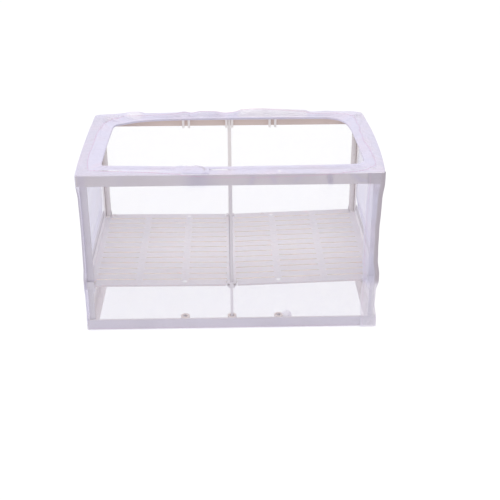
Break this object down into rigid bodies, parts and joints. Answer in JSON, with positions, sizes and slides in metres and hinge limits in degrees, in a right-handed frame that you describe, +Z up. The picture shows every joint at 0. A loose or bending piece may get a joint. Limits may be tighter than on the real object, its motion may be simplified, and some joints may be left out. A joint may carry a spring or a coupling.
{
  "type": "fish nursery net",
  "caption": "Box-shaped fry net for an aquarium: a push-fit plastic frame in a sheer mesh bag, with a slotted tray whose two halves lift.",
  "frame": {"origin": "centre of the floor net's underside, where the box stands", "axes": "+X to the right along the long side as seen in the picture, +Y from the front to the back, +Z up"},
  "size_m": [0.26, 0.155, 0.15],
  "materials": {
    "frame_plastic": "white moulded polypropylene, satin",
    "tray_plastic": "white moulded polypropylene sheet, satin",
    "net_mesh": "fine sheer white nylon mesh",
    "rim_fabric": "sheer white nylon mesh, doubled at the hem",
    "elastic": "white covered elastic"
  },
  "bodies": {
    "frame_and_net": {"top_front_rail": "frame_plastic", "top_back_rail": "frame_plastic", "top_left_rail": "frame_plastic", "top_right_rail": "frame_plastic", "bottom_front_rail": "frame_plastic", "bottom_back_rail": "frame_plastic", "bottom_left_rail": "frame_plastic", "bottom_right_rail": "frame_plastic", "upper_front_left_post": "frame_plastic", "upper_front_right_post": "frame_plastic", "upper_back_left_post": "frame_plastic", "upper_back_right_post": "frame_plastic", "lower_front_left_post": "frame_plastic", "lower_front_right_post": "frame_plastic", "lower_back_left_post": "frame_plastic", "lower_back_right_post": "frame_plastic", "left_tray_rail": "frame_plastic", "right_tray_rail": "frame_plastic", "upper_front_centre_post": "frame_plastic", "upper_back_centre_post": "frame_plastic", "lower_front_centre_post": "frame_plastic", "lower_back_centre_post": "frame_plastic", "centre_crossbar": "tray_plastic", "net_front": "net_mesh", "net_back": "net_mesh", "net_left": "net_mesh", "net_right": "net_mesh", "net_floor": "net_mesh", "net_seam_band": "rim_fabric", "net_rim": "rim_fabric", "hem_elastic": "elastic"},
    "left_panel": {"left_tray_panel": "tray_plastic"},
    "right_panel": {"right_tray_panel": "tray_plastic"}
  },
  "joints": [
    {"name": "left_panel_lift", "type": "hinge", "parent": "frame_and_net", "child": "left_panel", "pos_m": [-0.0026, 0, 0.0437], "axis": [0, 1, 0], "range_deg": [0, 45]},
    {"name": "right_panel_lift", "type": "hinge", "parent": "frame_and_net", "child": "right_panel", "pos_m": [0.0026, 0, 0.0437], "axis": [0, -1, 0], "range_deg": [0, 45]}
  ]
}
